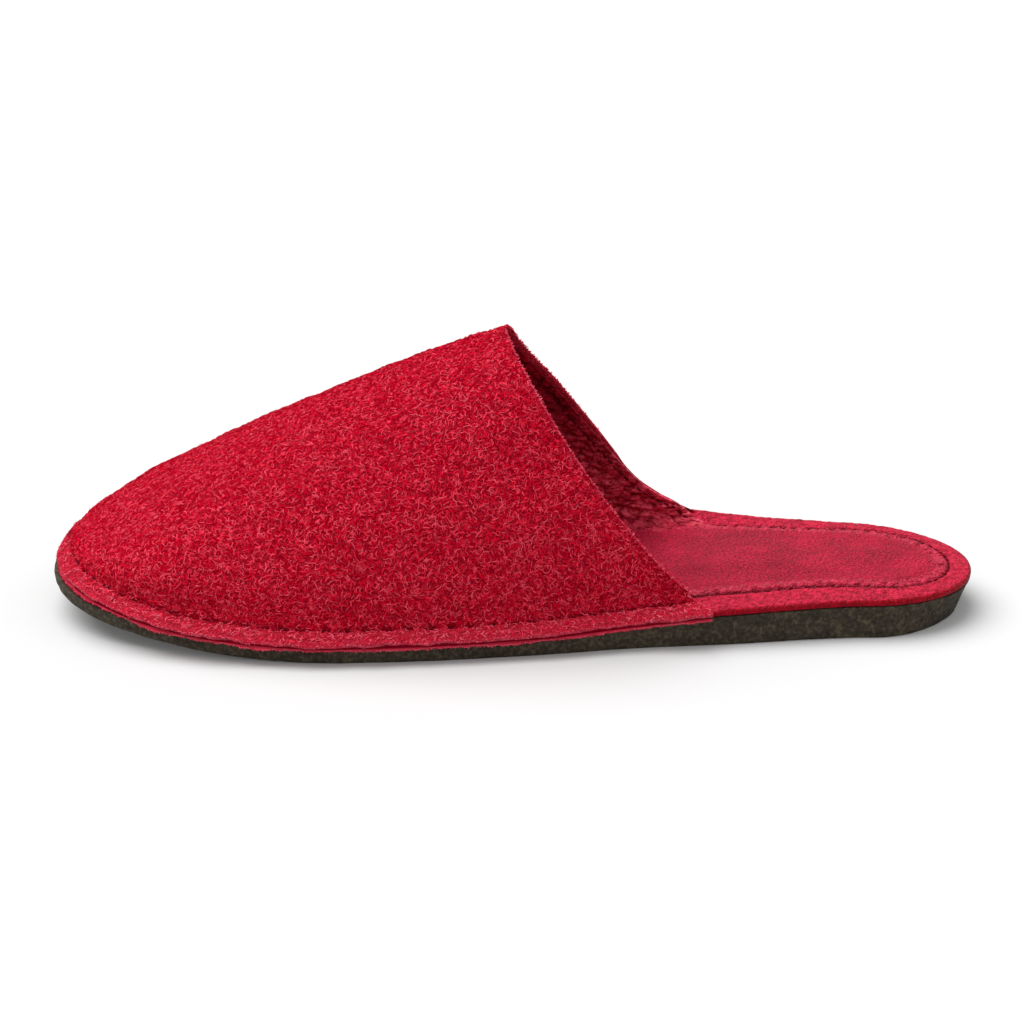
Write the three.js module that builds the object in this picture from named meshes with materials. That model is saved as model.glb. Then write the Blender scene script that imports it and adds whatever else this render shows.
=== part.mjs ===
// A backless house slipper (mule), left foot: a wedge outsole, a leather insole and a one-piece vamp
// that is sewn on round the forefoot with its edge turned out as a flange.
// Millimetres, +Z up. The toe points to -X, the outer (lateral) side faces -Y. "d" is the distance from the heel's back edge.
import * as THREE from "three";
import { mergeVertices } from "three/addons/utils/BufferGeometryUtils.js";

// ---------------------------------------------------------------- driving sizes
const SOLE_LENGTH = 269.5; // heel's back edge to the sole's toe tip
const GAP = 0.3; // room between two pieces that lie on each other
const INSOLE_THICK = 2.2;
const INSOLE_CROWN = 0.9; // the padded middle stands this much over the rim
const UPPER_THICK = 2.1; // suede and its lining together
const TOE_SPRING = 9.0; // lift of the sole's underside at the toe tip
const SPRING_FROM = 182; // where the underside leaves the floor
const AXIS_BEND = 4.0; // the toe tip lies this far to the inner side of the heel's axis
const AXIS_BEND_FROM = 140;
const HEEL_ROUND = 33.5; // length of the rounded heel end
const TOE_ROUND_FROM = { lateral: 184, medial: 186 }; // where each side starts to close round the toe
const TOE_POWER = { lateral: 2.4, medial: 2.65 }; // 2 is an ellipse, more is blunter
const HEEL_UNDERCUT = 3.8; // the outsole's heel end leans in by this much at the floor
const EDGE_BEVEL = 0.8; // along the outsole's lower edge
const FLANGE_END = { lateral: 79.5, medial: 66 }; // d where the flange's outer corners end
const RIM_EASE = 13; // length over which the insole's rim drops to go under the flange
const SEAM_END = { lateral: 83.5, medial: 69 }; // d where the collar meets the seam
const THROAT = 137.5; // d of the collar's highest point
const THROAT_RISE = 71.5; // collar top over the seam's level there
const COLLAR_SWEEP = 0.82; // outer side: below 1 the collar's lower end runs out along the sole
const SETTLE = { lateral: 0, medial: 0.75 }; // share of its rise that the flange loses at its end
const HEEL_BEND = 2; // the heel's back lies this far to the outer side
const HEEL_BEND_TO = 45; // d where the heel's axis is straight again
const STATIONS = 52; // along each side of the sole
const RINGS = 42; // sections of the upper, toe tip to collar
const HALF_ARC = 13; // steps from the wall's foot to the ridge

// Half widths of the sole, measured from the foot's axis, and the outsole's thickness at the edge.
const SOLE_SECTIONS = [
  { at: "heel back", d: 0, lateral: 33.2, medial: 33.2, thick: 9.7 },
  { at: "heel seat", d: 32, lateral: 34.3, medial: 34.5, thick: 9.6 },
  { at: "heel front", d: 74, lateral: 39.8, medial: 40.6, thick: 8.8 },
  { at: "waist", d: 100, lateral: 42.9, medial: 42.9, thick: 7.0 },
  { at: "instep", d: 130, lateral: 48.4, medial: 45.6, thick: 5.2 },
  { at: "outer ball", d: 172, lateral: 54.2, medial: 48.2, thick: 4.7 },
  { at: "inner ball", d: 192, lateral: 55.6, medial: 48.2, thick: 4.6 },
  { at: "toe", d: 245, lateral: 56.0, medial: 48.6, thick: 4.2 },
  { at: "toe tip", d: SOLE_LENGTH, lateral: 56.0, medial: 48.6, thick: 3.0 },
];

// The ridge of the vamp: share of the way from toe tip to throat, share of the throat's rise, distance to the inner
// side of the axis, and the section's fullness (2 is an ellipse).
const RIDGE = [
  { at: "toe tip", way: 0, rise: 0, inward: 0, power: 2.0 },
  { at: "toe nose", way: 0.012, rise: 0.032, inward: 6, power: 2.0 },
  { at: "toe front", way: 0.03, rise: 0.056, inward: 8, power: 2.0 },
  { at: "toe box", way: 0.08, rise: 0.115, inward: 8, power: 2.05 },
  { at: "toes", way: 0.22, rise: 0.287, inward: 6, power: 2.1 },
  { at: "ball", way: 0.45, rise: 0.526, inward: 4, power: 2.1 },
  { at: "vamp", way: 0.72, rise: 0.769, inward: 2, power: 1.95 },
  { at: "throat", way: 1, rise: 1, inward: 1, power: 1.8 },
];

// Inner side: the collar runs out along the sole. Share of the collar's height, share of the way to the throat.
const COLLAR_RUN = [
  { up: 0, way: 0 },
  { up: 0.024, way: 0.119 },
  { up: 0.053, way: 0.172 },
  { up: 0.108, way: 0.276 },
  { up: 0.168, way: 0.364 },
  { up: 0.23, way: 0.431 },
  { up: 0.292, way: 0.484 },
  { up: 0.418, way: 0.581 },
  { up: 0.65, way: 0.76 },
  { up: 0.837, way: 0.907 },
  { up: 1, way: 1 },
];

// Section of the flange and the wall's foot, along the sides and at the toe tip: "side" and "toe" are measured
// outwards from the sole's edge, "up" and "toeUp" from the insole's top.
const FLANGE_TOP = [
  { at: "edge", side: 2.3, up: -0.3, toe: 0.8, toeUp: 0.8 },
  { at: "middle", side: -0.3, up: 1.0, toe: -1.4, toeUp: 3.0 },
  { at: "seam", side: -3.2, up: 1.9, toe: -4.0, toeUp: 4.7 },
  { at: "foot of wall", side: -4.1, up: 3.3, toe: -4.6, toeUp: 5.4 },
];
const FLANGE_UNDER = [
  { at: "edge", side: 1.7, up: -2.5, toe: 0.3, toeUp: -1.65 },
  { at: "middle", side: -0.9, up: -1.15, toe: -2.1, toeUp: -0.8 },
  { at: "seam", side: -3.8, up: -0.3, toe: -4.6, toeUp: -0.3 },
  { at: "foot of wall", side: -6.2, up: 1.0, toe: -6.9, toeUp: 1.0 },
];
const WALL_INSET = { side: 4.5, toe: 4.9 }; // outer face of the wall, in from the sole's edge
const WALL_FOOT_UP = { outer: 3.3, toe: 5.4, inner: 1.0 }; // outer face at the sides and at the toe, inner face
const TOE_SHARE = 0.45; // the toe's values give way to the side's over this share of the sections

// The insole's top: depth under its nominal level, from the edge inwards, beside the heel and under the flange.
const INSOLE_RIM = [
  { at: "edge", inset: 0.1, heel: 0.75, forefoot: 2.0 },
  { at: "bevel", inset: 0.8, heel: 0.4, forefoot: 1.7 },
  { at: "under seam", inset: 2.4, heel: 0.28, forefoot: 1.2 },
  { at: "rim", inset: 5.5, heel: 0.12, forefoot: 0.75 },
  { at: "sewn line", inset: 9.5, heel: 0.1, forefoot: 0.25 },
  { at: "pad edge", inset: 13.5, heel: -0.55, forefoot: -0.4 },
];

// ---------------------------------------------------------------- curves
const clamp01 = (x) => Math.min(1, Math.max(0, x));
const smooth = (x) => clamp01(x) ** 2 * (3 - 2 * clamp01(x));
const mix = (a, b, s) => a + (b - a) * s;

// Monotone cubic through one column of a table.
function along(table, key, column) {
  const n = table.length;
  const x = table.map((r) => r[key]);
  const y = table.map((r) => r[column]);
  const slope = [];
  for (let i = 0; i < n - 1; i++)
    slope.push((y[i + 1] - y[i]) / (x[i + 1] - x[i]));
  const tangent = x.map((_, i) => {
    if (i === 0) return slope[0];
    if (i === n - 1) return slope[n - 2];
    const [a, b] = [slope[i - 1], slope[i]];
    return a * b <= 0 ? 0 : (2 * a * b) / (a + b);
  });
  return (q) => {
    if (q <= x[0]) return y[0];
    if (q >= x[n - 1]) return y[n - 1];
    let i = 0;
    while (q > x[i + 1]) i++;
    const h = x[i + 1] - x[i];
    const t = (q - x[i]) / h;
    return (
      y[i] * (1 + 2 * t) * (1 - t) ** 2 +
      tangent[i] * h * t * (1 - t) ** 2 +
      y[i + 1] * t * t * (3 - 2 * t) +
      tangent[i + 1] * h * t * t * (t - 1)
    );
  };
}

const width = {
  lateral: along(SOLE_SECTIONS, "d", "lateral"),
  medial: along(SOLE_SECTIONS, "d", "medial"),
};
const soleThick = along(SOLE_SECTIONS, "d", "thick");
const axisAt = (d) =>
  AXIS_BEND * smooth((d - AXIS_BEND_FROM) / (SOLE_LENGTH - AXIS_BEND_FROM)) -
  HEEL_BEND * (1 - smooth(d / HEEL_BEND_TO));
const spring = (d) =>
  TOE_SPRING *
  Math.max(0, (d - SPRING_FROM) / (SOLE_LENGTH - SPRING_FROM)) ** 2;
const soleTop = (d) => spring(d) + soleThick(d);
const insoleTop = (d) => soleTop(d) + GAP + INSOLE_THICK;

// The sole's outline at share u of the way from heel (0) to toe (1), on one side.
function edgePoint(u, side) {
  const d = (SOLE_LENGTH * (1 - Math.cos(Math.PI * clamp01(u)))) / 2;
  const heel = Math.sqrt(Math.max(0, 1 - Math.max(0, 1 - d / HEEL_ROUND) ** 2));
  const from = TOE_ROUND_FROM[side];
  const t = Math.max(0, (d - from) / (SOLE_LENGTH - from));
  const toe = Math.max(0, 1 - t ** TOE_POWER[side]) ** (1 / TOE_POWER[side]);
  const half = width[side](d) * heel * toe;
  return { d, y: axisAt(d) + (side === "medial" ? half : -half) };
}

// The same point moved out along the outline's normal (a negative move goes in).
function offsetPoint(u, side, out) {
  const other = side === "medial" ? "lateral" : "medial";
  const e = 0.004;
  const at = (q) =>
    q < 0
      ? edgePoint(-q, other)
      : q > 1
        ? edgePoint(2 - q, other)
        : edgePoint(q, side);
  const a = at(u - e);
  const b = at(u + e);
  const p = edgePoint(u, side);
  const length = Math.hypot(b.d - a.d, b.y - a.y);
  const turn = side === "medial" ? 1 : -1;
  return {
    d: p.d + (turn * (a.y - b.y) * out) / length,
    y: p.y + (turn * (b.d - a.d) * out) / length,
  };
}
const shareAt = (d) => Math.acos(clamp01(1 - d / SOLE_LENGTH) * 2 - 1) / Math.PI;
const point = (d, y, z) => [-d, y, z];

// ---------------------------------------------------------------- meshes
class Skin {
  constructor() {
    this.xyz = [];
    this.faces = [];
  }
  add(p) {
    this.xyz.push(...p);
    return this.xyz.length / 3 - 1;
  }
  // A grid of points as two triangles a cell; "turned" reverses the faces.
  grid(rows, turned) {
    const ids = rows.map((r) => r.map((p) => this.add(p)));
    for (let i = 0; i + 1 < ids.length; i++)
      for (let j = 0; j + 1 < ids[i].length; j++) {
        const [a, b] = [ids[i][j], ids[i][j + 1]];
        const [c, d] = [ids[i + 1][j + 1], ids[i + 1][j]];
        if (turned) this.faces.push(a, c, b, a, d, c);
        else this.faces.push(a, b, c, a, c, d);
      }
  }
  geometry() {
    const g = new THREE.BufferGeometry();
    g.setAttribute("position", new THREE.Float32BufferAttribute(this.xyz, 3));
    g.setIndex(this.faces);
    const merged = mergeVertices(g, 2e-3);
    const at = merged.index.array;
    const kept = [];
    for (let i = 0; i < at.length; i += 3)
      if (at[i] !== at[i + 1] && at[i + 1] !== at[i + 2] && at[i] !== at[i + 2])
        kept.push(at[i], at[i + 1], at[i + 2]);
    merged.setIndex(kept);
    merged.computeVertexNormals();
    return merged;
  }
}

const stations = Array.from({ length: STATIONS + 1 }, (_, i) => i / STATIONS);

// A solid like a plate: each station gives its section from the outer side's lower edge over the top to the
// inner side's lower edge, and the underside closes it.
function plate(section) {
  const skin = new Skin();
  const rows = stations.map(section);
  skin.grid(rows, false);
  skin.grid(
    rows.map((r) => [r[0], r[r.length - 1]]),
    true,
  );
  return skin.geometry();
}

function outsole() {
  return plate((u) => {
    const lip = (side, out, up) => {
      const p = offsetPoint(u, side, out);
      return point(p.d, p.y, up);
    };
    const d = edgePoint(u, "lateral").d;
    const under = 0.3 + (HEEL_UNDERCUT - 0.3) * (1 - smooth((d - 4) / 26));
    const [low, high] = [spring(d), soleTop(d)];
    const side = (s) => [
      lip(s, -under - EDGE_BEVEL, low),
      lip(s, -under * 0.85, low + EDGE_BEVEL),
      lip(s, -under * 0.3, mix(low, high, 0.6)),
      lip(s, 0, high),
    ];
    return [...side("lateral"), ...side("medial").reverse()];
  });
}

function insole() {
  return plate((u) => {
    const d = edgePoint(u, "lateral").d;
    const front = (side) =>
      smooth((d - FLANGE_END[side] + RIM_EASE) / RIM_EASE);
    const base = soleTop(d) + GAP;
    const rim = (side) =>
      INSOLE_RIM.map((r) => {
        const p = offsetPoint(u, side, -r.inset);
        return point(
          p.d,
          p.y,
          insoleTop(d) - mix(r.heel, r.forefoot, front(side)),
        );
      });
    const foot = (side) => {
      const p = offsetPoint(u, side, -INSOLE_RIM[0].inset);
      return point(p.d, p.y, base);
    };
    const [a, b] = [rim("lateral"), rim("medial").reverse()];
    const [p, q] = [a[a.length - 1], b[0]];
    const broad = clamp01(Math.abs(q[1] - p[1]) / 40);
    const pad = [0.2, 0.5, 0.8].map((s) => [
      mix(p[0], q[0], s),
      mix(p[1], q[1], s),
      mix(p[2], q[2], s) +
        (INSOLE_CROWN - 0.5) * broad * 4 * s * (1 - s),
    ]);
    return [foot("lateral"), ...a, ...pad, ...b, foot("medial")];
  });
}

// Read over the root of the way, so that the toe's nose comes out round.
const rooted = RIDGE.map((r) => ({ ...r, root: Math.sqrt(r.way) }));
const ridge = Object.fromEntries(
  ["rise", "inward", "power"].map((c) => [c, along(rooted, "root", c)]),
);

const collarRun = along(COLLAR_RUN, "up", "way");

// One section of the upper, f from 0 at the toe tip to 1 at the collar: the outer face or the inner one.
function ring(f, inner) {
  const flange = inner ? FLANGE_UNDER : FLANGE_TOP;
  const aside = smooth(f / TOE_SHARE);
  const inset =
    mix(WALL_INSET.toe, WALL_INSET.side, aside) + (inner ? UPPER_THICK : 0);
  const toeLift = WALL_FOOT_UP.toe - WALL_FOOT_UP.outer;
  const footUp = inner
    ? WALL_FOOT_UP.inner
    : WALL_FOOT_UP.outer + toeLift * (1 - aside);
  const baseUp = inner ? WALL_FOOT_UP.inner : WALL_FOOT_UP.outer;
  const tipUp = baseUp + toeLift * (inner ? smooth(f * 5) : 1);
  const share = 1 - Math.cos((Math.PI * f) / 2);
  const tip = offsetPoint(
    1,
    "lateral",
    -WALL_INSET.toe - (inner ? UPPER_THICK : 0),
  );
  const root = Math.sqrt(share);
  const topD = mix(tip.d, THROAT, share);
  const lowered = inner
    ? mix(0, UPPER_THICK * 1.1 - (WALL_FOOT_UP.outer - baseUp), smooth(f * 5))
    : 0;
  const top = {
    d: topD,
    y: axisAt(topD) + ridge.inward(root),
    z:
      mix(insoleTop(SOLE_LENGTH) + tipUp, insoleTop(THROAT) + baseUp, share) +
      THROAT_RISE * ridge.rise(root) -
      lowered,
  };
  const power = ridge.power(root);

  const half = (side) => {
    const baseD = mix(SOLE_LENGTH, SEAM_END[side], share);
    const sweep = (SEAM_END[side] - FLANGE_END[side]) * f ** 8;
    const settle = 1 - SETTLE[side] * f ** 10;
    const path = flange.map((r, k) => {
      const u = shareAt(baseD - sweep * (1 - k / (flange.length - 2)));
      const p = offsetPoint(Math.min(1, u), side, mix(r.toe, r.side, aside));
      const d = baseD - sweep * (1 - k / (flange.length - 2));
      const up = mix(r.toeUp, r.up, aside);
      return point(p.d, p.y, insoleTop(d) + (up > 0 ? up * settle : up));
    });
    const s = offsetPoint(shareAt(baseD), side, -inset);
    const footZ = insoleTop(baseD) + footUp * settle;
    const run = (b) =>
      side === "lateral"
        ? b ** mix(1, COLLAR_SWEEP, f * f)
        : mix(b, collarRun(b), f * f);
    const arc = [];
    for (let k = 1; k < HALF_ARC; k++) {
      const angle = ((Math.PI / 2) * k) / HALF_ARC;
      const a = Math.cos(angle) ** (2 / power);
      const b = Math.sin(angle) ** (2 / power);
      const d = mix(s.d, top.d, run(b));
      const broader = (width[side](d) - inset) / (width[side](baseD) - inset);
      arc.push(
        point(d, mix(top.y, s.y, a * broader), mix(footZ, top.z, b)),
      );
    }
    return [...path, ...arc];
  };
  return [
    ...half("lateral"),
    point(top.d, top.y, top.z),
    ...half("medial").reverse(),
  ];
}

function upper() {
  const skin = new Skin();
  const shares = Array.from({ length: RINGS + 1 }, (_, i) => i / RINGS);
  const out = shares.map((f) => ring(f, false));
  const inn = shares.map((f) => ring(f, true));
  const last = out[0].length - 1;
  skin.grid(out, true);
  skin.grid(inn, false);
  skin.grid([out.map((r) => r[0]), inn.map((r) => r[0])], true);
  skin.grid([out.map((r) => r[last]), inn.map((r) => r[last])], false);
  skin.grid([out[RINGS], inn[RINGS]], true);
  return skin.geometry();
}

// ---------------------------------------------------------------- assembly
const finish = (colour, roughness) =>
  new THREE.MeshStandardMaterial({ color: colour, roughness, metalness: 0 });

const pieces = [
  ["outsole", outsole(), finish(0x332c24, 0.85)],
  ["insole", insole(), finish(0xa8142e, 0.55)],
  ["upper", upper(), finish(0xb8102a, 0.95)],
];

const slipper = new THREE.Group();
for (const [name, geometry, material] of pieces) {
  const mesh = new THREE.Mesh(geometry, material);
  mesh.name = name;
  slipper.add(mesh);
}

// The origin: middle of the length and of the width, on the floor.
const box = new THREE.Box3().setFromObject(slipper);
slipper.position.set(
  -(box.min.x + box.max.x) / 2,
  -(box.min.y + box.max.y) / 2,
  -box.min.z,
);

const part = new THREE.Group();
part.add(slipper);
export default part;
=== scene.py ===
import math

import bpy
import numpy as np
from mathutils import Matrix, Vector


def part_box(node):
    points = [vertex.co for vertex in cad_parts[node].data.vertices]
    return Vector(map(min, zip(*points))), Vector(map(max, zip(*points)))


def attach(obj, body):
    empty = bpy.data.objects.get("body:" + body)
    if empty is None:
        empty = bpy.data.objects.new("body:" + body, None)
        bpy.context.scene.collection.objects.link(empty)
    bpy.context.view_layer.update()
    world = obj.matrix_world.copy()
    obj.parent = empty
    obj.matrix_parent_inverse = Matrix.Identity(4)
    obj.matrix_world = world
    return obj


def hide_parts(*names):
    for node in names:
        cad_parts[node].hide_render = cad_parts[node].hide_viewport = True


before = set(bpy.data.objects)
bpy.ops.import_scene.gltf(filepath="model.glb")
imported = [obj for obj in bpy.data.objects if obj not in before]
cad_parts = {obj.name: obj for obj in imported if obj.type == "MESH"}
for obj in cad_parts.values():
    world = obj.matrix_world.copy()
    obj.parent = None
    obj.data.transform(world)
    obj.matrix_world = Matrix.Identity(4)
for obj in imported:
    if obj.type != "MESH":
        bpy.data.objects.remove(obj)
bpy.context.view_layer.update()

RNG = np.random.default_rng(20417)

# ------------------------------------------------------------------ the shared shape
SOLE_LENGTH = 269.5
GAP = 0.3
INSOLE_THICK = 2.2
UPPER_THICK = 2.1
TOE_SPRING, SPRING_FROM = 9.0, 182.0
AXIS_BEND, AXIS_BEND_FROM = 4.0, 140.0
HEEL_BEND, HEEL_BEND_TO = 2.0, 45.0
HEEL_ROUND = 33.5
TOE_ROUND_FROM = {"lateral": 184.0, "medial": 186.0}
TOE_POWER = {"lateral": 2.4, "medial": 2.65}
HEEL_UNDERCUT = 3.8
FLANGE_END = {"lateral": 79.5, "medial": 66.0}
SEAM_END = {"lateral": 83.5, "medial": 69.0}
SETTLE = {"lateral": 0.0, "medial": 0.75}
THROAT, THROAT_RISE = 137.5, 71.5
COLLAR_SWEEP = 0.82
END_OUT, END_SINK = 3.4, 2.0
# The inner side's collar runs out along the sole: share of the collar's height, share of the way to the throat
COLLAR_RUN = [
    (0, 0), (0.024, 0.119), (0.053, 0.172), (0.108, 0.276), (0.168, 0.364), (0.23, 0.431),
    (0.292, 0.484), (0.418, 0.581), (0.65, 0.76), (0.837, 0.907), (1, 1),
]
WALL_INSET = {"side": 4.5, "toe": 4.9}
FOOT_UP = {"side": 3.3, "toe": 5.4, "inner": 1.0}
TOE_SHARE = 0.45

# d, outer half width, inner half width, outsole thickness
SOLE_SECTIONS = [
    (0, 33.2, 33.2, 9.7),
    (32, 34.3, 34.5, 9.6),
    (74, 39.8, 40.6, 8.8),
    (100, 42.9, 42.9, 7.0),
    (130, 48.4, 45.6, 5.2),
    (172, 54.2, 48.2, 4.7),
    (192, 55.6, 48.2, 4.6),
    (245, 56.0, 48.6, 4.2),
    (269.5, 56.0, 48.6, 3.0),
]
# share of the way from toe tip to throat, share of the rise, inward, fullness of the section
RIDGE = [
    (0, 0, 0, 2.0),
    (0.012, 0.032, 6, 2.0),
    (0.03, 0.056, 8, 2.0),
    (0.08, 0.115, 8, 2.05),
    (0.22, 0.287, 6, 2.1),
    (0.45, 0.526, 4, 2.1),
    (0.72, 0.769, 2, 1.95),
    (1, 1, 1, 1.8),
]
# out and up at the sides, out and up at the toe: edge, middle, seam, foot of wall
FLANGE_TOP = [(2.3, -0.3, 0.8, 0.8), (-0.3, 1.0, -1.4, 3.0), (-3.2, 1.9, -4.0, 4.7), (-4.1, 3.3, -4.6, 5.4)]
FLANGE_UNDER = [(1.7, -2.5, 0.3, -1.65), (-0.9, -1.15, -2.1, -0.8), (-3.8, -0.3, -4.6, -0.3), (-6.2, 1.0, -6.9, 1.0)]
# inset, depth under the insole's top at the heel and under the flange
INSOLE_RIM = [(0.1, 0.75, 2.0), (0.8, 0.4, 1.7), (2.4, 0.28, 1.2), (5.5, 0.12, 0.75), (9.5, 0.1, 0.25), (13.5, -0.55, -0.4)]

SHIFT_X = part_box("outsole")[1].x * 1000.0
MIDDLE_Y = 2.1616


def smooth(x):
    c = np.clip(x, 0.0, 1.0)
    return c * c * (3 - 2 * c)


def mix(a, b, t):
    return a + (b - a) * t


def along(xs, ys):
    x, y = np.array(xs, float), np.array(ys, float)
    s = np.diff(y) / np.diff(x)
    m = np.empty(len(x))
    m[0], m[-1] = s[0], s[-1]
    for i in range(1, len(x) - 1):
        m[i] = 0 if s[i - 1] * s[i] <= 0 else 2 * s[i - 1] * s[i] / (s[i - 1] + s[i])

    def at(q):
        q = np.clip(np.asarray(q, float), x[0], x[-1])
        i = np.clip(np.searchsorted(x, q, side="left") - 1, 0, len(x) - 2)
        h = x[i + 1] - x[i]
        t = (q - x[i]) / h
        return (
            y[i] * (1 + 2 * t) * (1 - t) ** 2
            + m[i] * h * t * (1 - t) ** 2
            + y[i + 1] * t * t * (3 - 2 * t)
            + m[i + 1] * h * t * t * (t - 1)
        )

    return at


def column(table, key, col):
    return along([r[key] for r in table], [r[col] for r in table])


WIDTH = {"lateral": column(SOLE_SECTIONS, 0, 1), "medial": column(SOLE_SECTIONS, 0, 2)}
sole_thick = column(SOLE_SECTIONS, 0, 3)
ROOTS = [math.sqrt(r[0]) for r in RIDGE]
ridge_rise = along(ROOTS, [r[1] for r in RIDGE])
ridge_inward = along(ROOTS, [r[2] for r in RIDGE])
ridge_power = along(ROOTS, [r[3] for r in RIDGE])
collar_run = column(COLLAR_RUN, 0, 1)


def axis_at(d):
    bend = AXIS_BEND * smooth((d - AXIS_BEND_FROM) / (SOLE_LENGTH - AXIS_BEND_FROM))
    return bend - HEEL_BEND * (1 - smooth(d / HEEL_BEND_TO))


def spring(d):
    return TOE_SPRING * np.maximum(0, (d - SPRING_FROM) / (SOLE_LENGTH - SPRING_FROM)) ** 2


def sole_top(d):
    return spring(d) + sole_thick(d)


def insole_top(d):
    return sole_top(d) + GAP + INSOLE_THICK


def edge_point(u, side):
    d = SOLE_LENGTH * (1 - np.cos(np.pi * np.clip(u, 0, 1))) / 2
    heel = np.sqrt(np.maximum(0, 1 - np.maximum(0, 1 - d / HEEL_ROUND) ** 2))
    start = TOE_ROUND_FROM[side]
    t = np.maximum(0, (d - start) / (SOLE_LENGTH - start))
    n = TOE_POWER[side]
    toe = np.maximum(0, 1 - t**n) ** (1 / n)
    half = WIDTH[side](d) * heel * toe
    return d, axis_at(d) + (half if side == "medial" else -half)


def outline(u, side):
    other = "lateral" if side == "medial" else "medial"
    r = np.where(u < 0, -u, np.where(u > 1, 2 - u, u))
    d1, y1 = edge_point(r, side)
    d2, y2 = edge_point(r, other)
    past = (u < 0) | (u > 1)
    return np.where(past, d2, d1), np.where(past, y2, y1)


def offset_point(u, side, out):
    u = np.asarray(u, float)
    e = 0.004
    da, ya = outline(u - e, side)
    db, yb = outline(u + e, side)
    d, y = edge_point(u, side)
    length = np.hypot(db - da, yb - ya)
    turn = 1.0 if side == "medial" else -1.0
    return d + turn * (ya - yb) * out / length, y + turn * (db - da) * out / length


def share_at(d):
    return np.arccos(np.clip(1 - np.asarray(d, float) / SOLE_LENGTH, 0, 1) * 2 - 1) / np.pi


def half_ring(f, side, inner, rows, angles):
    """Points (ring, row, 3) of one half of the upper, from the flange's edge up to just under the ridge."""
    table = FLANGE_UNDER if inner else FLANGE_TOP
    thick = UPPER_THICK if inner else 0.0
    f = f[:, None]
    aside = smooth(f / TOE_SHARE)
    inset = mix(WALL_INSET["toe"], WALL_INSET["side"], aside) + thick
    foot_up = FOOT_UP["inner"] if inner else mix(FOOT_UP["toe"], FOOT_UP["side"], aside)
    share = 1 - np.cos(np.pi * f / 2)
    root = np.sqrt(share)
    top_d, top_y, top_z = ridge_point(f, inner)
    power = ridge_power(root)
    base_d = mix(SOLE_LENGTH, SEAM_END[side], share)
    sweep = (SEAM_END[side] - FLANGE_END[side]) * f**8
    settle = 1 - SETTLE[side] * f**10
    k = rows[None, :]
    cols = [along([0, 1, 2, 3], [r[c] for r in table])(rows)[None, :] for c in range(4)]
    d = base_d - sweep * (1 - k / 2)
    pd, py = offset_point(np.minimum(1, share_at(d)), side, mix(cols[2], cols[0], aside))
    up = mix(cols[3], cols[1], aside)
    pz = insole_top(d) + np.where(up > 0, up * settle, up)
    sd, sy = offset_point(share_at(base_d), side, -inset)
    a = np.cos(angles)[None, :] ** (2 / power)
    b = np.sin(angles)[None, :] ** (2 / power)
    if side == "medial":  # the low end of the collar comes out to the sole's edge
        sy = sy + END_OUT * smooth((f - 0.88) / 0.12) * (1 - smooth(b / 0.16))
        py = py + END_OUT * smooth((f - 0.88) / 0.12) * smooth(k / 2.6)
        pz = pz - END_SINK * smooth((f - 0.94) / 0.06) * (1 - smooth((k - 2.0) / 1.0))
    run = b ** mix(1.0, COLLAR_SWEEP, f * f) if side == "lateral" else mix(b, collar_run(b), f * f)
    wd = mix(sd, top_d, run)
    broader = (WIDTH[side](wd) - inset) / (WIDTH[side](base_d) - inset)
    wy = mix(top_y, sy, a * broader)
    wz = mix(insole_top(base_d) + foot_up * settle, top_z, b)
    return np.concatenate([np.stack([pd, py, pz], -1), np.stack([wd, wy, wz], -1)], 1)


def ridge_point(f, inner):
    thick = UPPER_THICK if inner else 0.0
    foot_up = FOOT_UP["inner"] if inner else FOOT_UP["side"]
    toe_up = foot_up + (FOOT_UP["toe"] - FOOT_UP["side"]) * (smooth(f * 5) if inner else 1.0)
    share = 1 - np.cos(np.pi * f / 2)
    root = np.sqrt(share)
    tip_d, _ = offset_point(1.0, "lateral", -WALL_INSET["toe"] - thick)
    d = mix(tip_d, THROAT, share)
    lowered = mix(0.0, UPPER_THICK * 1.1 - (FOOT_UP["side"] - foot_up), smooth(f * 5)) if inner else 0.0
    z = (
        mix(insole_top(SOLE_LENGTH) + toe_up, insole_top(THROAT) + foot_up, share)
        + THROAT_RISE * ridge_rise(root)
        - lowered
    )
    return d, axis_at(d) + ridge_inward(root), z


def upper_face(f, inner, rows, angles):
    """The whole face: outer flange edge, over the ridge, inner flange edge. Array (ring, row, 3) of d, y, z."""
    a = half_ring(f, "lateral", inner, rows, angles)
    b = half_ring(f, "medial", inner, rows, angles)
    top = np.stack(ridge_point(f, inner), -1)[:, None, :]
    return np.concatenate([a, top, b[:, ::-1]], 1)


# ------------------------------------------------------------------ small helpers for arrays
def unit(v):
    return v / np.maximum(np.linalg.norm(v, axis=-1, keepdims=True), 1e-9)


def grid_normals(p):
    """Unit normals of a (ring, row, 3) grid in d, y, z, pointing out of the upper."""
    gi = np.gradient(p, axis=0)
    gj = np.gradient(p, axis=1)
    gi[0] = p[1] - p[0]
    n = np.cross(gi, gj)
    size = np.linalg.norm(n, axis=-1)
    weak = size < 1e-6
    n[weak] = (1, 0, 0.6)
    n = unit(n)
    mid = p.shape[1] // 2
    if n[p.shape[0] // 2, mid, 2] < 0:
        n = -n
    n[weak] = unit(np.array((1.0, 0, 0.6)))
    return n


def ripple(p, waves, seed):
    """A soft, even, wandering field of about unit size: a few plane waves with random ways and phases."""
    g = np.random.default_rng(seed)
    out = np.zeros(p.shape[:-1])
    for length in waves:
        for _ in range(4):
            k = g.normal(size=3)
            k *= 2 * np.pi / length / np.linalg.norm(k)
            out += np.sin(p @ k + g.uniform(0, 6.283))
    return out / math.sqrt(len(waves) * 2)


def path_lengths(p, axis=0):
    step = np.linalg.norm(np.diff(p, axis=axis), axis=-1)
    start = np.zeros_like(np.take(step, [0], axis=axis))
    return np.concatenate([start, np.cumsum(step, axis=axis)], axis=axis)


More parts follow.
